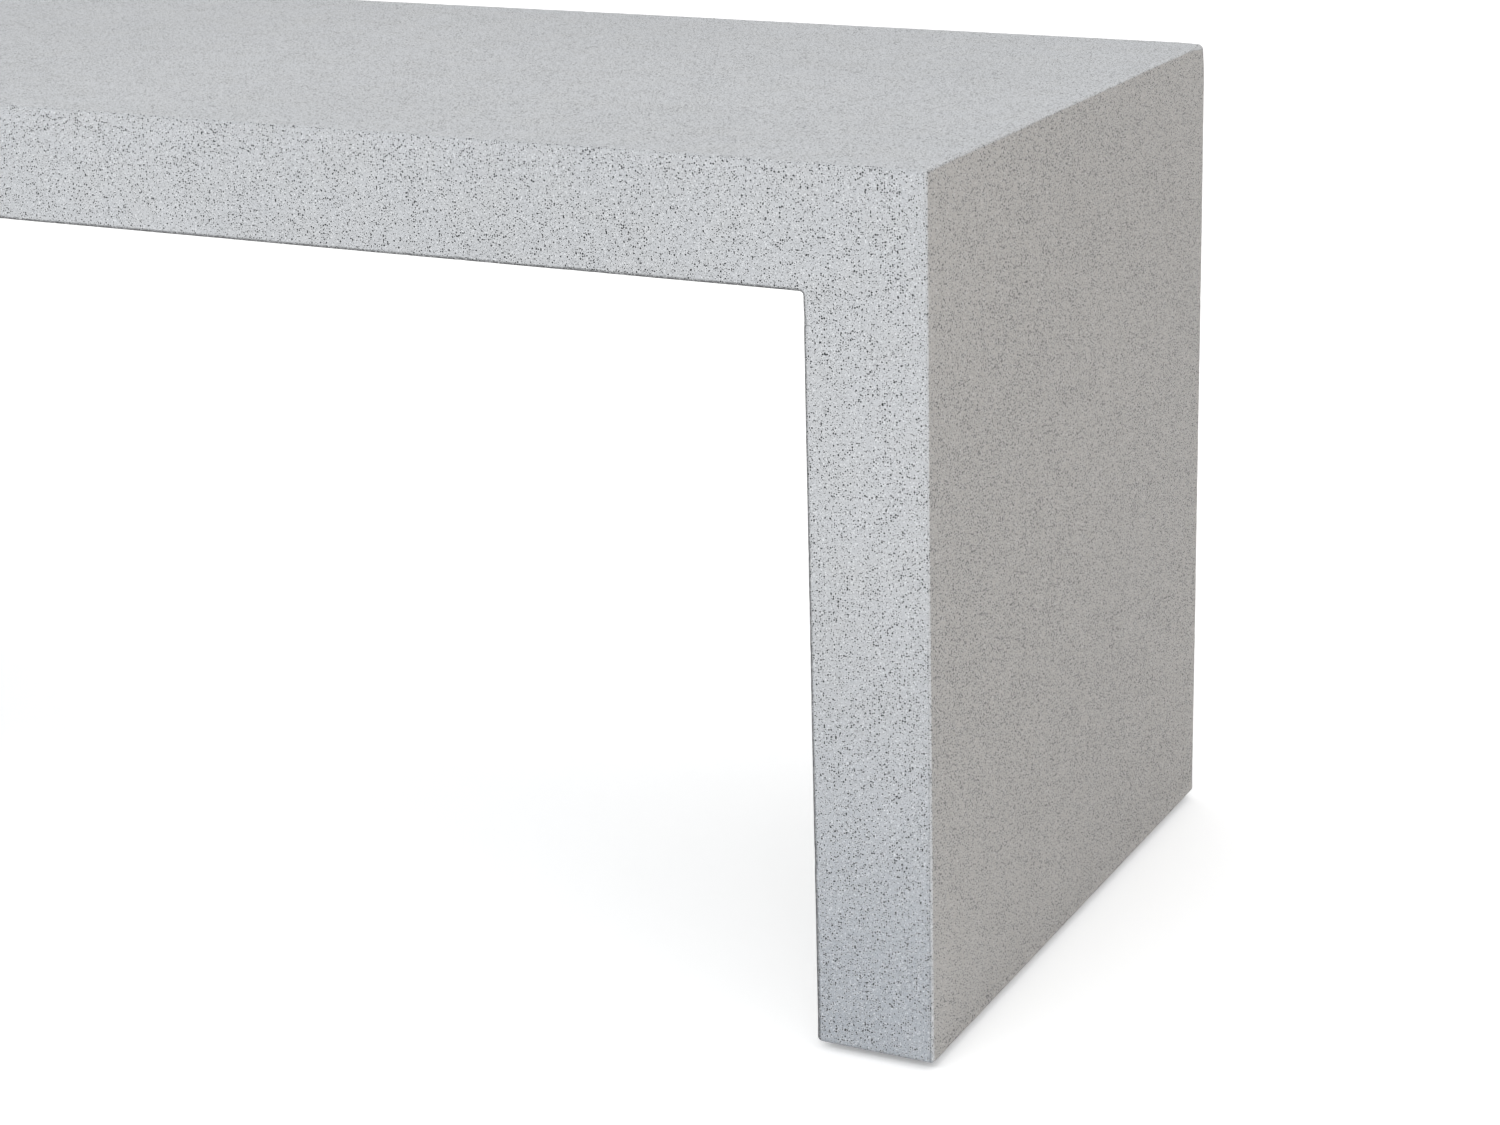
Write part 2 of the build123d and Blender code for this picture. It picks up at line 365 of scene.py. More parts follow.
casting = {
    "skin": 0.012,
    "edge": 0.0013,  # usual rounding of the long arrises
    "footEdge": 0.0012,  # how much rounder they get towards the floor
    "footReach": 0.16,  # and how far up that is felt
    "underEdge": 0.0008,  # how much rounder the arrises are that turn down and inwards
    "edgeRange": (0.0009, 0.0042),
    "edgeWaves": ((0.31, 0.00010), (0.083, 0.00005), (0.029, 0.00003)),
    "nicks": {"count": 60, "width": (0.0015, 0.0034), "depth": (0.0001, 0.0006)},
    "topCorner": 0.0014,  # rounding where the top turns down
    "topRipple": ((0.021, 0.00015, 0), (0.0057, 0.0001, 1)),  # length over 2 pi, size, phase
    "topLeast": 0.0006,
    "insideCorner": 0.0019,
    "bottomRoll": 0.0023,
    "rollSpare": 0.0001,  # how much rounder than the roll an arris is where it meets it
    "rollHold": 0.009,  # how far up it stays so
    "rollFade": 0.03,
    "vertexWear": {"front": (0.0004, 0.0006), "rear": (0.0022, 0.0026)},  # left and right end
    "vertexReach": 0.009,  # along the arris
    "cornerReach": {"front": 0.010, "rear": 0.014},  # along the top corner
    "waves": ((0.61, 0.00012), (0.23, 0.00007)),
    "wavesFrom": 0.01,  # above the bottom
    "seed": 11,
    "step": 0.0028,  # between stations along the U
    "legCrowding": 0.12,  # how much closer the stations of a leg are at its ends
    "seatCrowding": 1.15,
    "counts": {"topArc": 9, "roll": 6, "arris": 6, "cheek": 3, "face": 8, "outside": 25},
}

# how worn the casting is in places, and how much painted shade lies on some of its arrises, from 0
# to 1
castingMarks = {
    "rearWorn": 0.4,
    "topWorn": 0.15,
    "crease": 0.45,  # painted shade in the fine crease beside a worn arris
    "creaseHigh": 0.35,  # share of it that is left far from the floor
    "creaseTop": 0.5,
    "topPaintedShade": 0.10,
    "innerPaintedShade": (0.4, 1.0, 0.7),  # first column, middle and last column of an inner arris
    "rollPaintedShade": (1.0, 0.2),  # from the bottom up
}
print("sizes of the casting read")


# The casting is a channel carried round the U. Its section runs from the free edge of the front
# cheek over the front face, the outside and the rear face to the free edge of the rear cheek; the
# hollow follows the same stations inside. Every point is an inset from the outer run, an inset
# from the inner run, or a share between the two, and a depth y.
def makeCasting(material):
    c = casting
    count = c["counts"]
    halfLength, halfDepth, top = shellHigh
    low = shellLow[2]
    thick = halfLength - legPanelLow[0]
    under = seatPanelLow[2]
    roll = c["bottomRoll"]
    quarter = np.pi / 2

    even = np.linspace(0, 1, int((top - low) / c["step"]))
    legShare = even + c["legCrowding"] * np.sin(2 * np.pi * even) / (2 * np.pi)
    seatShare = np.linspace(0, 1, int(halfLength / c["step"]))[1:] ** c["seatCrowding"]
    arcTurn = np.linspace(0, quarter, count["topArc"])[1:]
    rollTurn = np.linspace(0, quarter, count["roll"])[:-1]
    nRoll, nLeg, nArc = len(rollTurn), len(legShare), len(arcTurn)
    half = nRoll + nLeg + nArc + len(seatShare)
    stations = 2 * half - 1

    # x and z of the left half of a run: the bottom roll, the straight leg, a quarter circle and
    # half the seat; inset is how far each point lies inside the casting, and corner the rounding
    # of the bend
    def halfRun(inset, corner, outside):
        if outside:
            middle = np.maximum(corner, inset + c["topLeast"])
            centreX, centreZ, radius = -halfLength + middle, top - middle, middle - inset
            legX, seatZ = -halfLength + inset, top - inset
        else:
            centreX, centreZ = -halfLength + thick + corner, under - corner
            radius = corner + inset
            legX, seatZ = -halfLength + thick - inset, under + inset
        rise = low + roll * (1 - np.cos(rollTurn))[:, None]
        rollX, rollZ = legX[:nRoll], np.broadcast_to(rise, legX[:nRoll].shape)
        part = slice(nRoll, nRoll + nLeg)
        legPart = legX[part]
        legZ = low + roll + legShare[:, None] * (centreZ[part] - (low + roll))
        part = slice(nRoll + nLeg, nRoll + nLeg + nArc)
        turn = arcTurn[:, None]
        arcX = centreX[part] - radius[part] * np.cos(turn)
        arcZ = centreZ[part] + radius[part] * np.sin(turn)
        part = slice(nRoll + nLeg + nArc, None)
        seatX = centreX[part] * (1 - seatShare[:, None])
        x, z = [rollX, legPart, arcX, seatX], [rollZ, legZ, arcZ, seatZ[part]]
        return np.vstack(x), np.vstack(z)

    # the whole run: the left half, then its mirror image without the middle station
    def wholeRun(inset, corner, outside):
        x, z = halfRun(inset[:half], corner[:half], outside)
        otherX, otherZ = halfRun(inset[::-1][:half], corner[::-1][:half], outside)
        return np.vstack([x, -otherX[-2::-1]]), np.vstack([z, otherZ[-2::-1]])

    # how far the bottom roll draws the surface in at each station
    shrink = np.zeros(stations)
    shrink[:nRoll] = roll * (1 - np.sin(rollTurn))
    shrink[-nRoll:] = shrink[:nRoll][::-1]
    shrink = shrink[:, None]

    # the plain outer run, the distance along it, and how near each station is to the floor
    plain = np.zeros((stations, 1))
    runX, runZ = wholeRun(plain, plain + c["topCorner"], True)
    steps = np.hypot(np.diff(runX[:, 0]), np.diff(runZ[:, 0]))
    along = np.concatenate([[0], np.cumsum(steps)])
    above = runZ[:, 0] - low
    nearFloor = bell(above, c["footReach"])

    # the rounding of an arris: usual, rounder near the floor, waved and nicked, and rounder at the
    # top corners outside or all along inside
    def edgeRadius(side, outside, seed):
        radius = c["edge"] + c["footEdge"] * nearFloor
        radius = radius + wornLine(along, c["edgeWaves"], c["nicks"], seed)
        if outside:
            for sign, wear in zip((-1, 1), c["vertexWear"][side]):
                away = np.hypot(runX[:, 0] - sign * halfLength, runZ[:, 0] - top)
                radius = radius + wear * bell(away, c["vertexReach"])
        else:
            radius = radius + c["underEdge"]
        least, most = c["edgeRange"]
        nearRoll = np.clip(1 - (above - c["rollHold"]) / c["rollFade"], 0, 1)
        return np.clip(radius, least + nearRoll * (roll + c["rollSpare"] - least), most)[:, None]

    seed = c["seed"]
    frontOut, frontIn = edgeRadius("front", True, seed), edgeRadius("front", False, seed + 1)
    rearOut, rearIn = edgeRadius("rear", True, seed + 2), edgeRadius("rear", False, seed + 3)

    turn = np.linspace(0, quarter, count["arris"])[None, :]
    edgeShare = np.linspace(0, 1, count["cheek"])[None, :-1]
    faceShare = np.linspace(1, 0, count["face"])[None, 1:-1]
    backShare = np.sin(np.linspace(-quarter, quarter, count["outside"]))[None, 1:-1]
    ones = np.ones((stations, 1))

    # one half of the section: cheek edge, inner arris, face and outer arris, each a block of
    # columns, as inset from the inner run, inset from the outer run, share between them and depth
    def halfSection(inner, outer):
        cheekY = c["skin"] + edgeShare * (inner - c["skin"])
        innerIn = inner - (inner - shrink) * np.cos(turn)
        innerY = inner - (inner - shrink) * np.sin(turn)
        outerIn = (outer - (outer - shrink) * np.cos(turn))[:, ::-1]
        outerY = (outer - (outer - shrink) * np.sin(turn))[:, ::-1]
        edge, arris, face = (np.ones_like(v) for v in (edgeShare, turn, faceShare))
        fromIn = [shrink * edge, innerIn, inner * face, inner * arris]
        fromOut = [outer * edge, outer * arris, outer * face, outerIn]
        share = [ones * edge, ones * arris, ones * faceShare, 0 * ones * arris]
        depth = [cheekY, innerY, shrink * face, outerY]
        return [np.hstack(part) for part in (fromIn, fromOut, share, depth)]

    front, rear = halfSection(frontIn, frontOut), halfSection(rearIn, rearOut)
    backY = 0.5 * (frontOut - rearOut) + backShare * (halfDepth - 0.5 * (frontOut + rearOut))
    none = 0 * ones * backShare
    fromIn = np.hstack([front[0], none, rear[0][:, ::-1]])
    fromOut = np.hstack([front[1], shrink * np.ones_like(backShare), rear[1][:, ::-1]])
    share = np.hstack([front[2], none, rear[2][:, ::-1]])
    y = np.hstack([front[3] - halfDepth, backY, (halfDepth - rear[3])[:, ::-1]])

    # the bend at the top ripples a little along the depth, and is rounder towards the rear
    corner = c["topCorner"]
    for length, size, phase in c["topRipple"]:
        corner = corner + size * np.sin(y / length + phase)
    for side, edgeY in (("front", -halfDepth), ("rear", halfDepth)):
        wear = np.where(runX < 0, *c["vertexWear"][side])
        corner = corner + wear * bell(y - edgeY, c["cornerReach"][side])
    outX, outZ = wholeRun(fromOut, corner, True)
    inX, inZ = wholeRun(fromIn, np.full_like(fromIn, c["insideCorner"]), False)
    outer = np.stack([outX + share * (inX - outX), y, outZ + share * (inZ - outZ)], axis=2)

    # gentle waves pressed in along the surface's own direction, none at the free edges of the
    # cheeks
    down, across = np.gradient(outer, axis=0), np.gradient(outer, axis=1)
    normal = np.cross(down, across)
    normal /= np.maximum(np.linalg.norm(normal, axis=2, keepdims=True), 1e-12)
    centreLine = outer.shape[1] // 2
    fromInside = outer[:, centreLine] - (0, 0, top / 2)
    outward = np.sign((normal[:, centreLine] * fromInside).sum())
    depthOfWave = rollingHeight(outer, c["waves"], seed + 5)
    depthOfWave -= depthOfWave.max()
    fade = np.ones(outer.shape[1])
    rampUp = (0, 0, 0.25, 0.5, 0.75)
    fade[:5], fade[-5:] = rampUp, rampUp[::-1]
    floorFade = np.clip((outer[..., 2] - low) / c["wavesFrom"], 0, 1)
    outer = outer + outward * normal * (depthOfWave * fade * floorFade)[..., None]

    # the hollow: the same columns, along the cheeks' inside and the underside of the skin
    nFront = front[0].shape[1]
    slide = np.linspace(1, 0, nFront)[None, :]
    hollowShare = np.hstack([slide * ones, none, slide[:, ::-1] * ones])
    wall = halfDepth - c["skin"]
    cheek = wall * np.ones_like(slide)
    hollowY = np.hstack([-cheek, wall * backShare, cheek]) * ones
    hollowOut = np.full_like(hollowY, c["skin"])
    hollowIn = shrink * np.ones_like(hollowY)
    outX, outZ = wholeRun(hollowOut, np.full_like(hollowY, c["topCorner"]), True)
    inX, inZ = wholeRun(hollowIn, np.full_like(hollowY, c["insideCorner"]), False)
    hollowX, hollowZ = outX + hollowShare * (inX - outX), outZ + hollowShare * (inZ - outZ)
    hollow = np.stack([hollowX, hollowY, hollowZ], axis=2)

    # where the arrises are worn pale, and where painted shade darkens those that turn down and
    # inwards, the creases beside the worn ones, the top edges and the bottom roll
    m = castingMarks
    nArris = count["arris"]
    bend = nRoll + nLeg
    onTop = slice(bend + nArc, stations - bend - nArc)
    middle = slice(nFront - 1, 1 - nFront)
    crease = nFront - nArris + 1
    worn, paintedShade = np.zeros(outer.shape[:2]), np.zeros(outer.shape[:2])
    worn[:, crease + 1 : nFront - 1] = 1
    worn[:, 1 - nFront : nArris - 1 - nFront] = m["rearWorn"]
    worn[onTop] *= m["topWorn"]
    paintedShade[:, crease] = m["crease"] * (m["creaseHigh"] + (1 - m["creaseHigh"]) * nearFloor)
    for start, dark in ((bend, 0), (stations - bend - nArc, nArc - 1)):
        worn[start : start + nArc, middle] = 1
        paintedShade[start + dark, middle] = m["creaseTop"] * m["crease"]
    paintedShade[onTop, crease : nFront - 1] = m["topPaintedShade"]
    entry, inside, leave = m["innerPaintedShade"]
    innerShadeColumns = np.array([0.0] * edgeShare.size + [entry] + [inside] * (nArris - 3) + [leave])
    paintedShade[:, : innerShadeColumns.size] = innerShadeColumns
    paintedShade[:, -innerShadeColumns.size :] = innerShadeColumns[::-1]
    rollShadeRows = np.linspace(*m["rollPaintedShade"], nRoll)[:, None]
    paintedShade[:nRoll] = np.maximum(paintedShade[:nRoll], rollShadeRows)
    paintedShade[-nRoll:] = np.maximum(paintedShade[-nRoll:], rollShadeRows[::-1])
    plain = np.zeros(worn.size)
    marks = {
        "worn": np.concatenate([worn.ravel(), plain]),
        "paintedShade": np.concatenate([paintedShade.ravel(), plain]),
    }

    points = np.concatenate([outer.reshape(-1, 3), hollow.reshape(-1, 3)])
    numbers = np.arange(len(points)).reshape(2, *outer.shape[:2])
    loop = gridQuads(np.vstack([numbers[0], numbers[1][::-1]]), closeRows=True)
    piece = buildPiece(
        "castShell", points, loop, material, "bench", ("shell",), marks
    )
    print("casting:", len(piece.data.polygons), "triangles")


concreteLook = {
    "light": (0.520, 0.530, 0.547),
    "dark": (0.496, 0.506, 0.522),
    "warm": (0.508, 0.507, 0.499),
    # painted shade: the faces that point to the ends are darker and warmer
    "end": (0.438, 0.416, 0.392),
    # painted shade: darker, bluer colour low on the legs, not on the ends
    "foot": (0.360, 0.388, 0.428),
    # painted shade: near black inside the air holes, also used for the darker grain
    "hole": (0.030, 0.032, 0.034),
    # a pale ring painted round each air hole, a painted highlight on its lip
    "rim": (0.90, 0.91, 0.92),
    "worn": (0.545, 0.552, 0.560),
    "paintedShade": (0.052, 0.052, 0.054),
    "footShadeRise": 0.26,  # how far up the painted shade reaches that makes the foot of the legs darker and bluer
    "slowScale": 6.0,
    "middleScale": 40.0,
    "crowdScale": 75.0,
    "patchScale": 160.0,
    "grainScale": 1500.0,
    "strayScale": 1400.0,
    "stray": 0.0003,  # how far the outline of a hole wanders
    "wider": 0.10,  # how much wider the holes are on the top and the ends
    "fineHoles": {
        "scale": 1350.0,
        "least": 0.02,
        "most": 0.48,
        "rim": 0.22,
        "softness": 0.08,
        "keep": 0.90,
        "dark": 0.85,
        "pale": 0.5,
    },
    "wideHoles": {
        "scale": 820.0,
        "least": 0.12,
        "most": 0.46,
        "rim": 0.18,
        "softness": 0.05,
        "keep": 0.70,
        "dark": 1.0,
        "pale": 1.0,
    },
    "rimHighlightShare": 0.46,
    "holeShare": 1.0,
    "topShare": 0.74,
    "endShare": 0.75,
    "roughness": (0.76, 0.90),
}


# Slow clouds of light and dark paste, air holes painted near black as the shade inside them and
# ringed by a pale painted highlight, and fine grain. A hole is where the distance to a random
# point falls under a radius that differs from point to point, and its rim is the belt just
# outside. Holes show most on the long faces, and less on the ends and the top. Painted shade also
# darkens and warms the ends, darkens and blues the foot of the legs, and darkens the arrises
# marked for it.
def castConcrete(name, look):
    paint = Paint(name)
    where = paint.place()
    facing = paint.place("Normal")
    upward, endward = [paint.axis(facing, letter) for letter in "ZX"]
    upward = paint.ramp(upward, 0.5, 0.9)
    endward = paint.ramp(abs(endward), 0.5, 0.9)
    height = paint.axis(where, "Z")

    slow = paint.noise(where, look["slowScale"], 3.0, 0.55)
    middle = paint.noise(where, look["middleScale"], 3.0, 0.6)
    grain = paint.noise(where, look["grainScale"], 1.0, 0.6)
    patchy = paint.noise(where, look["patchScale"], 3.0, 0.6)
    bent = paint.stray(where, look["stray"], look["strayScale"], 1.0, 0.6)
    crowd = paint.noise(where, look["crowdScale"], 1.0, 0.6)
    crowd = paint.ramp(crowd, 0.35, 0.65, 0.96, 1.04)
    crowd = crowd * (1 + (upward + endward) * look["wider"])
    share = 1 - upward * (1 - look["topShare"])
    share = share * (1 - endward * (1 - look["endShare"])) * look["holeShare"]

    def holes(kind):
        inputs = {"Vector": bent, "Scale": kind["scale"], "Randomness": 1.0}
        distance = paint.add("ShaderNodeTexVoronoi", {"feature": "F1"}, inputs, "Distance")
        span = {"From Min": 1 - kind["keep"], "To Min": kind["least"], "To Max": kind["most"]}
        span["Value"] = paint.chance(inputs, "Red", {"feature": "F1"})
        reach = paint.add("ShaderNodeMapRange", {"clamp": False}, span) * crowd
        hole = paint.clamp((reach - distance) / kind["softness"])
        rim = paint.clamp((reach + kind["rim"] - distance) / kind["softness"])
        return hole * share * kind["dark"], rim * (1 - hole) * share * kind["pale"]

    fineHole, fineRim = holes(look["fineHoles"])
    wideHole, wideRim = holes(look["wideHoles"])
    hole, rim = paint.larger(fineHole, wideHole), paint.larger(fineRim, wideRim)

    paste = paint.mix(paint.ramp(slow, 0.32, 0.70), look["dark"], look["light"])
    paste = paint.mix(paint.ramp(middle, 0.35, 0.75) * 0.3, paste, look["warm"])
    # painted shade: faces that point to the ends darkened and warmed
    paste = paint.mix(endward * 0.9, paste, look["end"])
    worn, paintedShade = [
        paint.add("ShaderNodeAttribute", {"attribute_name": mark}, output="Fac")
        for mark in ("worn", "paintedShade")
    ]
    paste = paint.mix(worn * paint.ramp(patchy, 0.25, 0.55, 0.35, 1.0), paste, look["worn"])
    # painted shade: darker and bluer towards the floor on all but the end faces, less on worn
    # arrises
    low = paint.ramp(height, 0.0, look["footShadeRise"], 0.8, 0.0) * (1 - endward)
    paste = paint.mix(low * (1 - worn * 0.45), paste, look["foot"])
    paste = paint.mix(paint.ramp(grain, 0.50, 0.72) * share * 0.28, paste, look["hole"])
    # painted shade: dark lines along the arrises that turn down and inwards, the creases, the top
    # edges and the bottom roll
    paste = paint.mix(paintedShade * paint.ramp(patchy, 0.30, 0.60, 1.0, 0.85), paste, look["paintedShade"])
    # painted highlight: a pale ring round each air hole
    paste = paint.mix(rim * look["rimHighlightShare"], paste, look["rim"])
    # painted shade: the air holes near black
    colour = paint.mix(hole, paste, look["hole"])

    relief = paint.bump(grain * 0.25 - hole + rim * 0.15, 0.5, 0.0004)
    rough = paint.ramp(middle, 0.2, 0.8, *look["roughness"])
    return paint.finish(
        Base_Color=colour, Roughness=rough, Specular_IOR_Level=0.35, Normal=relief
    )


makeCasting(castConcrete("castConcrete", concreteLook))

panelConcreteLook = {
    **concreteLook,
    "light": (0.475, 0.480, 0.484),
    "dark": (0.450, 0.456, 0.462),
    "holeShare": 0.7,
    "topShare": 0.6,
    "endShare": 0.6,
}
panelConcrete = castConcrete("panelConcrete", panelConcreteLook)

panelShape = {
    "edge": 0.0008,
    "edgeRows": 5,
    "step": 0.010,
    "waves": ((0.45, 0.00010), (0.17, 0.00005)),
    "wavesFrom": 0.015,  # in from the rim
    "seed": 31,
}


# A flat casting in the box of its CAD node: over a grid, each broad face sinks by a quarter circle
# near the rim and by slow sine waves away from it, and a strip joins the two rims.
def makePanel(name, node, material):
    p = panelShape
    low, high = (np.array(v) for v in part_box(node))
    size = high - low
    thin = int(np.argmin(size))
    first, second = [k for k in range(3) if k != thin]
    nearRim = p["edge"] * (1 - np.cos(np.linspace(0, np.pi / 2, p["edgeRows"])))

    def spread(length):
        count = max(int(length / p["step"]), 4)
        inner = np.linspace(p["edge"], length - p["edge"], count)
        return np.concatenate([nearRim[:-1], inner, length - nearRim[-2::-1]])

    u, v = np.meshgrid(spread(size[first]), spread(size[second]), indexing="ij")
    rimU, rimV = np.minimum(u, size[first] - u), np.minimum(v, size[second] - v)
    shortU, shortV = np.clip(p["edge"] - rimU, 0, None), np.clip(p["edge"] - rimV, 0, None)
    sink = p["edge"] - np.sqrt(np.clip(p["edge"] ** 2 - shortU**2 - shortV**2, 0, None))
    calm = np.clip(np.minimum(rimU, rimV) / p["wavesFrom"], 0, 1)
    sheets = []
    for lower, seed in ((True, p["seed"]), (False, p["seed"] + 1)):
        points = np.zeros((*u.shape, 3))
        points[..., first], points[..., second] = low[first] + u, low[second] + v
        wave = rollingHeight(points, p["waves"], seed)
        depth = sink + (wave.max() - wave) * calm
        points[..., thin] = low[thin] + depth if lower else high[thin] - depth
        sheets.append(points.reshape(-1, 3))
    numbers = np.arange(2 * u.size).reshape(2, *u.shape)
    rims = [
        np.concatenate([sheet[0, :-1], sheet[:-1, -1], sheet[-1, :0:-1], sheet[:0:-1, 0]])
        for sheet in numbers
    ]
    strip = gridQuads(np.stack(rims), closeColumns=True)
    quads = np.concatenate([gridQuads(numbers[0][::-1]), gridQuads(numbers[1]), strip])
    points = np.concatenate(sheets)
    buildPiece(name, points, quads, material, "bench", (node,))


makePanel("seatSoffitPanel", "seat_soffit_panel", panelConcrete)
for end in ends:
    makePanel(f"legPanel{end.title()}", f"leg_panel_{end}", panelConcrete)
print("closing panels built")


# a profile with its corners rounded: each corner (radius, height, softness) becomes a short
# parabola that starts and ends at that distance along its two sides
def softProfile(corners):
    corners = np.array(corners, float)
    share = np.linspace(0, 1, 4)[:, None]
    line = [corners[0, :2][None]]
    for before, here, after in zip(corners[:-2], corners[1:-1], corners[2:]):
        back, ahead = before[:2] - here[:2], after[:2] - here[:2]
        start = here[:2] + back / np.linalg.norm(back) * here[2]
        stop = here[:2] + ahead / np.linalg.norm(ahead) * here[2]
        curve = (1 - share) ** 2 * start + 2 * share * (1 - share) * here[:2] + share**2 * stop
        line.append(curve)
    line.append(corners[-1, :2][None])
    return np.concatenate(line)


# even angles round the axis, starting at the right
def evenAngles(columns):
    return np.arange(columns) * 2 * np.pi / columns


# A turned piece of a foot: the radius and height of each row, carried round the axis of the foot's
# stem at even angles. The part is pad, sole or stem; the height starts at the bottom of that
# part's CAD node.
def turnPart(part, corner, radius, height, material, body):
    stemLow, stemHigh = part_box(f"foot_stem_{corner}")
    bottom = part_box(f"foot_{part}_{corner}")[0].z
    angle = evenAngles(radius.shape[1])
    x = (stemLow.x + stemHigh.x) / 2 + radius * np.cos(angle)
    y = (stemLow.y + stemHigh.y) / 2 + radius * np.sin(angle)
    z = np.broadcast_to(bottom + height, radius.shape)
    points = np.stack([x, y, z], axis=2).reshape(-1, 3)
    quads = gridQuads(np.arange(len(points)).reshape(radius.shape), closeColumns=True)
    name = "foot" + part.title() + corner.title().replace("_", "")
    node = f"foot_{part}_{corner}"
    buildPiece(name, points, quads, material, f"{body}_{corner}", (node,))


# turned metal: fine rings across the axis, cloudy tarnish, and a yellow tint in places
turnedZincLook = {
    "bright": (0.66, 0.67, 0.69),
    "dull": (0.47, 0.48, 0.49),
    "yellow": (0.60, 0.57, 0.47),
    "rings": (60.0, 60.0, 2600.0),
    "cloudScale": 130.0,
    "tintScale": 300.0,
    "roughness": 0.24,
}


def turnedZinc(name, look):
    paint = Paint(name)
    where = paint.place()
    stretched = paint.add("ShaderNodeMapping", {}, {"Vector": where, "Scale": look["rings"]})
    rings = paint.noise(stretched, 1.0, 2.0, 0.6)
    cloud = paint.ramp(paint.noise(where, look["cloudScale"], 3.0, 0.6), 0.30, 0.70)
    tint = paint.noise(where, look["tintScale"], 2.0, 0.5)
    metal = paint.mix(cloud, look["dull"], look["bright"])
    metal = paint.mix(paint.ramp(tint, 0.45, 0.75) * 0.4, metal, look["yellow"])
    rough = look["roughness"] + cloud * 0.14 + rings * 0.12
    relief = paint.bump(rings, 0.25, 0.0001)
    return paint.finish(Base_Color=metal, Metallic=1.0, Roughness=rough, Normal=relief)


# hot-dip coat: flat crystals, each with its own grey and gloss, fine grain, and white bloom over
# them
hotDipLook = {
    "dark": (0.36, 0.37, 0.385),
    "bright": (0.62, 0.635, 0.65),
    "bloom": (0.74, 0.75, 0.75),
    "crystals": 95.0,
    "stray": 0.006,  # how far the outline of a crystal wanders
    "strayScale": 60.0,
    "grainScale": 700.0,
    "bloomScale": 22.0,
    "roughness": 0.30,
}


def hotDipZinc(name, look):
    paint = Paint(name)
    where = paint.place()
    bent = paint.stray(where, look["stray"], look["strayScale"], 2.0, 0.5)
    crystal = paint.chance({"Vector": bent, "Scale": look["crystals"]}, "Red")
    grain = paint.noise(where, look["grainScale"], 3.0, 0.6)
    bloom = paint.ramp(paint.noise(where, look["bloomScale"], 4.0, 0.65), 0.52, 0.72)
    metal = paint.mix(crystal * 0.75 + grain * 0.25, look["dark"], look["bright"])
    metal = paint.mix(bloom * 0.5, metal, look["bloom"])
    rough = look["roughness"] + crystal * 0.16 + bloom * 0.30
    relief = paint.bump(crystal * 0.3 + grain * 0.4 + bloom * 0.3, 0.3, 0.0002)
    return paint.finish(Base_Color=metal, Metallic=0.85, Roughness=rough, Normal=relief)


# moulded nylon: near black, with a fine satin grain and scuffs that are greyer and duller
nylonLook = {
    "black": (0.016, 0.016, 0.018),
    "scuff": (0.075, 0.075, 0.078),
    "grainScale": 2400.0,
    "scuffScale": 260.0,
    "roughness": 0.38,
}


def mouldedNylon(name, look):
    paint = Paint(name)
    where = paint.place()
    grain = paint.noise(where, look["grainScale"], 2.0, 0.6)
    scuff = paint.ramp(paint.noise(where, look["scuffScale"], 5.0, 0.75), 0.56, 0.70)
    colour = paint.mix(scuff * 0.6, look["black"], look["scuff"])
    rough = look["roughness"] + grain * 0.14 + scuff * 0.25
    relief = paint.bump(grain, 0.35, 0.0001)
    return paint.finish(
        Base_Color=colour, Roughness=rough, Specular_IOR_Level=0.5, Normal=relief
    )


# soft rubber: dark grey, matt, with dust in its grain
rubberLook = {
    "rubber": (0.030, 0.030, 0.031),
    "dust": (0.26, 0.26, 0.25),
    "grainScale": 1300.0,
    "dustScale": 210.0,
    "roughness": 0.80,
}


def solingRubber(name, look):
    paint = Paint(name)
    where = paint.place()
    grain = paint.noise(where, look["grainScale"], 3.0, 0.7)
    dust = paint.ramp(paint.noise(where, look["dustScale"], 5.0, 0.7), 0.45, 0.75)
    inGrain = dust * paint.ramp(grain, 0.35, 0.65) * 0.5
    colour = paint.mix(inGrain, look["rubber"], look["dust"])
    rough = look["roughness"] + dust * 0.15
    relief = paint.bump(grain, 0.5, 0.0002)
    return paint.finish(Base_Color=colour, Roughness=rough, Normal=relief)


nylon = mouldedNylon("mouldedNylon", nylonLook)
rubber = solingRubber("solingRubber", rubberLook)
stemZinc = turnedZinc("stemZinc", turnedZincLook)

padShape = {
    "columns": 192,
    "flutes": 32,
    "fluteDepth": 0.0004,
    "fluteFrom": (0.0135, 0.0012),  # the radius where the flutes start, and the fade outwards
    "fluteRise": 0.0006,  # fade upwards from the underside
    "outerRadius": 0.015,
    "rimTop": 0.0035,  # above the underside of the foot
    "recessRadius": 0.0125,
    "recessDepth": 0.002,
    "hubRadius": 0.00848,
    "hubFoot": 0.0065,
    "holeRadius": 0.00358,
    "pocketRadius": 0.00608,
    "pocketFloor": 0.0035,
    "pocketTop": 0.00666,
}


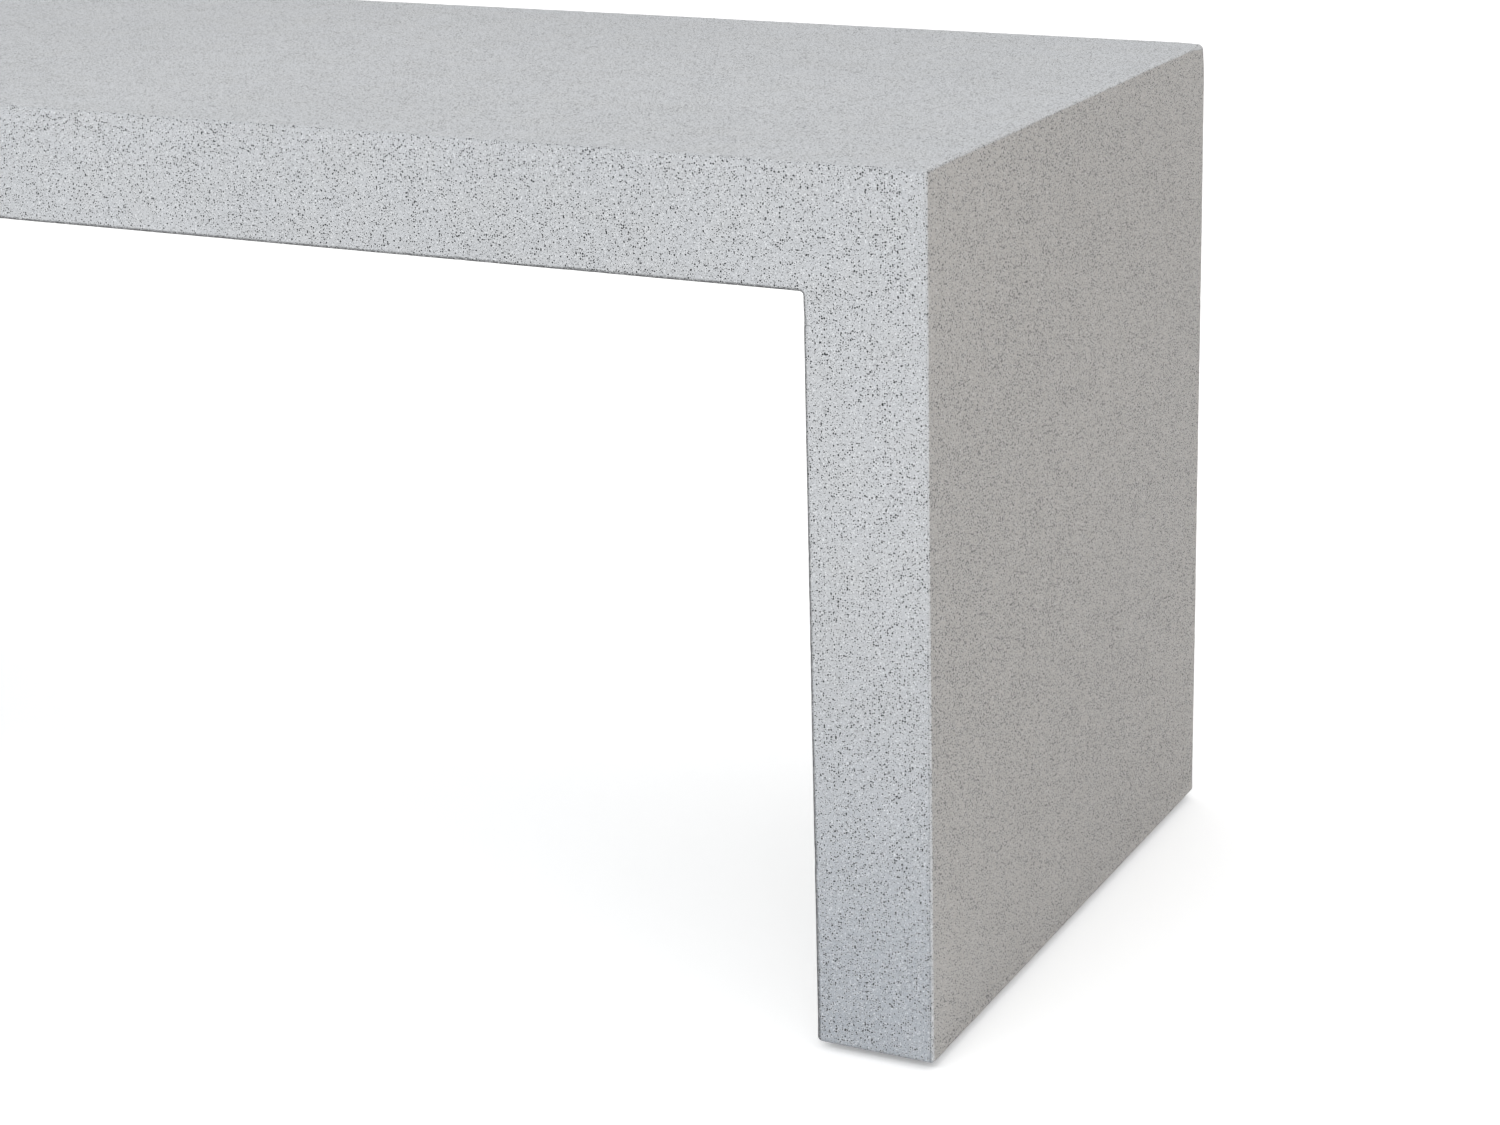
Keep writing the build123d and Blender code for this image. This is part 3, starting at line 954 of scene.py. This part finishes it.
# The foot is a turned cup with a hub. Its rim sinks in and out as a cosine of the angle, for grip.
def makeFootPad(corner):
    f = padShape
    low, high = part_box(f"foot_pad_{corner}")
    top = high.z - low.z
    corners = [
        (0, f["recessDepth"], 0),
        (f["recessRadius"], f["recessDepth"], 0.0003),
        (f["recessRadius"], 0, 0.0002),
        (f["outerRadius"], 0, 0.0005),
        (f["outerRadius"], f["rimTop"], 0.0009),
        (f["hubRadius"], f["hubFoot"], 0.0009),
        (f["hubRadius"], top, 0.0006),
        (f["holeRadius"], top, 0.0003),
        (f["holeRadius"], f["pocketTop"], 0.0001),
        (f["pocketRadius"], f["pocketTop"], 0.0001),
        (f["pocketRadius"], f["pocketFloor"], 0.0002),
        (0, f["pocketFloor"], 0),
    ]
    profile = softProfile(corners)
    radius, height = profile[:, :1], profile[:, 1:]
    wave = 0.5 - 0.5 * np.cos(f["flutes"] * evenAngles(f["columns"]))
    start, fade = f["fluteFrom"]
    reach = np.clip((radius - start) / fade, 0, 1) * np.clip(height / f["fluteRise"], 0, 1)
    radius = radius - f["fluteDepth"] * reach * wave
    turnPart("pad", corner, radius, height, nylon, "foot")


soleShape = {
    "columns": 96,
    "edge": 0.0005,
    "grooves": (0.0032, 0.0062, 0.0092),
    "grooveWidth": 0.0010,
    "grooveDepth": 0.0006,
    "grooveFlank": 0.0002,
    "grooveSoftness": 0.00008,
}


# the sole is a turned disc with round grooves in its tread
def makeFootSole(corner):
    s = soleShape
    low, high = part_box(f"foot_sole_{corner}")
    outer, thick = (high.x - low.x) / 2, high.z - low.z
    width, flank = s["grooveWidth"], s["grooveFlank"]
    corners = [(0, 0, 0)]
    for groove in s["grooves"]:
        for across, depth in ((0, 0), (flank, 1), (width - flank, 1), (width, 0)):
            corners.append((groove + across, depth * s["grooveDepth"], s["grooveSoftness"]))
    corners += [(outer, 0, s["edge"]), (outer, thick, 0.0002), (0, thick, 0)]
    profile = softProfile(corners)
    radius = profile[:, :1] * np.ones(s["columns"])
    turnPart("sole", corner, radius, profile[:, 1:], rubber, "foot")


stemShape = {
    "columns": 48,
    "buttonRadius": 0.006,
    "buttonHeight": 0.003,
    "neckRadius": 0.0035,
    "collarBottom": 0.00688,  # above the stem's lowest point
    "collarHeight": 0.0035,
    "collarRows": 15,
    "collarSlope": 1.7,  # outwards for each step away from a face
    "acrossFlats": 0.013,
    "threadRadius": 0.0049,
    "threadDepth": 0.00092,
    "crest": 0.125,  # share of the pitch that is flat at the crest
    "flanks": 0.625,
    "pitch": 0.0015,
    "rowsPerTurn": 8,
    "leadIn": 0.001,
}


# The stem is a turned piece whose radius also depends on the angle. On the collar it is half the
# width across flats over the cosine of the angle from the nearest flat, cut by a cone at both
# faces. On the thread it sinks from the crest by a clipped triangle wave of height over pitch
# minus angle over a full turn.
def makeFootStem(corner):
    s = stemShape
    low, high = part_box(f"foot_stem_{corner}")
    length = high.z - low.z
    angle = evenAngles(s["columns"])
    ones = np.ones(s["columns"])
    corners = [
        (0, 0, 0),
        (s["buttonRadius"], 0, 0.0003),
        (s["buttonRadius"], s["buttonHeight"], 0.0003),
        (s["neckRadius"], s["buttonHeight"], 0.0002),
        (s["neckRadius"], s["collarBottom"], 0.0002),
        (s["neckRadius"] + 0.001, s["collarBottom"], 0),
    ]
    turned = softProfile(corners)
    flat = np.pi / 3
    hexagon = s["acrossFlats"] / 2 / np.cos((angle + flat / 2) % flat - flat / 2)
    rise = np.linspace(0, s["collarHeight"], s["collarRows"])[:, None]
    fromFace = np.minimum(rise, s["collarHeight"] - rise)
    collar = np.minimum(hexagon, s["acrossFlats"] / 2 + fromFace * s["collarSlope"])
    collarTop = s["collarBottom"] + s["collarHeight"]
    turns = (length - collarTop) / s["pitch"]
    z = np.linspace(collarTop, length, int(turns * s["rowsPerTurn"]))[:, None]
    phase = (z / s["pitch"] - angle / (2 * np.pi)) % 1
    sink = np.clip((np.abs(phase - 0.5) * 2 - s["crest"]) / s["flanks"], 0, 1)
    sink = sink * np.clip((z - collarTop) / (2 * s["pitch"]), 0, 1)
    thread = s["threadRadius"] - s["threadDepth"] * sink
    thread = np.minimum(thread, s["threadRadius"] - s["leadIn"] + (length - z))
    radius = np.vstack([turned[:, :1] * ones, collar, thread, 0 * ones])
    height = np.concatenate([turned[:, 1:], s["collarBottom"] + rise, z, [[length]]])
    turnPart("stem", corner, radius, height, stemZinc, "stem")


for corner in corners:
    makeFootPad(corner)
    makeFootSole(corner)
    makeFootStem(corner)
print("levelling feet built")


# trowelled bonding concrete: coarse grain, short glass fibres in two directions, and damp patches
bondingLook = {
    "paste": (0.335, 0.335, 0.325),
    "damp": (0.24, 0.24, 0.235),
    "fibre": (0.52, 0.53, 0.52),
    "fibreScale": (70.0, 1500.0, 1500.0),
    "fibreTurns": ((0.3, 0.5, 0.4), (1.2, 0.4, 1.9)),
    "grainScale": 900.0,
    "cloudScale": 45.0,
    "roughness": 0.85,
}


def bondingConcrete(name, look):
    paint = Paint(name)
    where = paint.place()
    grain = paint.noise(where, look["grainScale"], 4.0, 0.7)
    cloud = paint.noise(where, look["cloudScale"], 3.0, 0.6)
    strands = []
    for turn in look["fibreTurns"]:
        inputs = {"Vector": where, "Rotation": turn, "Scale": look["fibreScale"]}
        strand = paint.noise(paint.add("ShaderNodeMapping", {}, inputs), 1.0)
        strands.append(paint.ramp(strand, 0.62, 0.70))
    fibre = paint.larger(*strands)
    colour = paint.mix(paint.ramp(cloud, 0.35, 0.65), look["damp"], look["paste"])
    colour = paint.mix(paint.ramp(grain, 0.4, 0.7) * 0.4, colour, look["damp"])
    colour = paint.mix(fibre * 0.7, colour, look["fibre"])
    rough = look["roughness"] + grain * 0.12
    relief = paint.bump(grain * 0.6 + fibre * 0.4 + cloud, 0.7, 0.0010)
    return paint.finish(Base_Color=colour, Roughness=rough, Normal=relief)


# foam board: white beads pressed against one another, shaded where they meet
foamLook = {
    "bead": (0.86, 0.865, 0.86),
    "seam": (0.55, 0.56, 0.57),
    "beads": 270.0,
    "roughness": 0.65,
}


def beadFoam(name, look):
    paint = Paint(name)
    inputs = {"Vector": paint.place(), "Scale": look["beads"]}
    seam = {"feature": "DISTANCE_TO_EDGE"}
    dome = paint.ramp(paint.add("ShaderNodeTexVoronoi", seam, inputs, "Distance"), 0.0, 0.22)
    shade = paint.chance(inputs, "Green")
    colour = paint.mix(dome, look["seam"], look["bead"])
    colour = paint.mix(shade * 0.12, colour, look["seam"])
    rough = look["roughness"] + shade * 0.15
    return paint.finish(Base_Color=colour, Roughness=rough, Normal=paint.bump(dome, 0.6, 0.0006))


plugZinc = turnedZinc("plugZinc", {**turnedZincLook, "yellow": (0.56, 0.55, 0.50)})
hotDip = hotDipZinc("hotDipZinc", hotDipLook)
bonding = bondingConcrete("bondingConcrete", bondingLook)
foam = beadFoam("beadFoam", foamLook)

# what each carried-over CAD node is finished in, by how its name begins
nodeFinishes = {
    "leg_base_": panelConcrete,
    "seat_rail_": hotDip,
    "leg_post_": hotDip,
    "seat_cross_tube_": hotDip,
    "leg_cross_tube_": hotDip,
    "corner_plates": hotDip,
    "seat_bonding_pads": bonding,
    "soffit_bonding_pads": bonding,
    "end_bonding_pads": bonding,
    "leg_panel_bonding_pads": bonding,
    "seat_foam_": foam,
    "corner_foam_": foam,
    "leg_foam_": foam,
    "post_plug_": plugZinc,
}


def finishNodes():
    count = 0
    for name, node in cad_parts.items():
        for start, material in nodeFinishes.items():
            if name.startswith(start):
                if not node.material_slots:
                    node.data.materials.append(material)
                for place in node.material_slots:
                    place.material = material
                count += 1
    print("CAD nodes finished:", count)


finishNodes()
